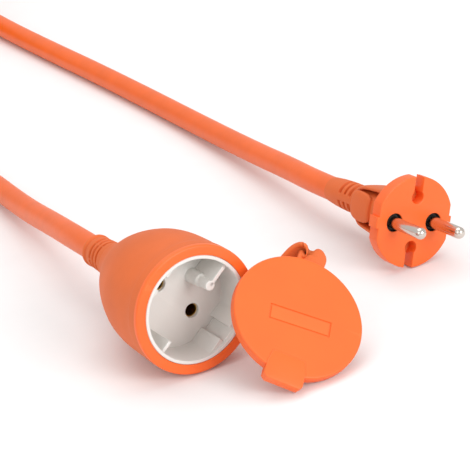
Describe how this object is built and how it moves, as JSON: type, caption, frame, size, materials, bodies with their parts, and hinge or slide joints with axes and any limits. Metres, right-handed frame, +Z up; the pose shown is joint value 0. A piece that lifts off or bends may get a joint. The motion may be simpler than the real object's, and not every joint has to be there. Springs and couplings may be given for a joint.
{
  "type": "extension cord",
  "caption": "Two-pole outdoor extension lead: a moulded contour plug, a round cord and a bell-shaped coupler socket whose lid hangs on a rubber strap.",
  "frame": {"origin": "on the surface that the coupler lies on, under the middle of the coupler and its open lid", "axes": "+Z up; the coupler's mouth looks along -Y, 2.5 degrees upwards; the plug lies beside it towards +X"},
  "size_m": [0.1591, 0.6117, 0.0502],
  "materials": {
    "orange_rubber": "matt",
    "orange_cord": "satin",
    "white_plastic": "satin",
    "grey_plastic": "matt",
    "black_plastic": "matt",
    "nickel": "polished",
    "brass": "satin",
    "spring_steel": "satin",
    "brown_wire": "satin",
    "blue_wire": "satin",
    "tie_fabric": "matt"
  },
  "bodies": {
    "coupler": {"coil_tie": "tie_fabric", "contact_sleeve_left": "brass", "contact_sleeve_right": "brass", "contact_spring_left": "spring_steel", "contact_spring_right": "spring_steel", "cord_clamp": "grey_plastic", "cord_coil": "orange_cord", "cord_plug_lead": "orange_cord", "cord_socket_lead": "orange_cord", "crimp_left": "brass", "crimp_right": "brass", "insert_back_cover": "grey_plastic", "plug_carrier": "black_plastic", "plug_pin_left": "nickel", "plug_pin_right": "nickel", "plug_shell": "orange_rubber", "plug_strain_relief": "orange_rubber", "plug_wire_blue": "blue_wire", "plug_wire_brown": "brown_wire", "socket_housing": "orange_rubber", "socket_insert": "white_plastic", "socket_strain_relief": "orange_rubber", "socket_wire_blue": "blue_wire", "socket_wire_brown": "brown_wire", "strap_root": "orange_rubber"},
    "strap": {"strap_fold": "orange_rubber"},
    "lid": {"lid": "orange_rubber", "lid_seal": "orange_rubber", "strap_tail": "orange_rubber"}
  },
  "joints": [
    {"name": "strap_swing", "type": "hinge", "parent": "coupler", "child": "strap", "pos_m": [0.02388, -0.01847, 0.03818], "axis": [0.1735, -0.3989, -0.9004], "range_deg": [0, 115.26]},
    {"name": "lid_fold", "type": "hinge", "parent": "strap", "child": "lid", "pos_m": [0.03436, -0.02225, 0.04137], "axis": [-0.2146, 0.8014, 0.5583], "range_deg": [0, 112.5]}
  ],
  "couplings": [
    {"joint": "lid_fold", "follows": "strap_swing", "ratio": 0.97536}
  ]
}
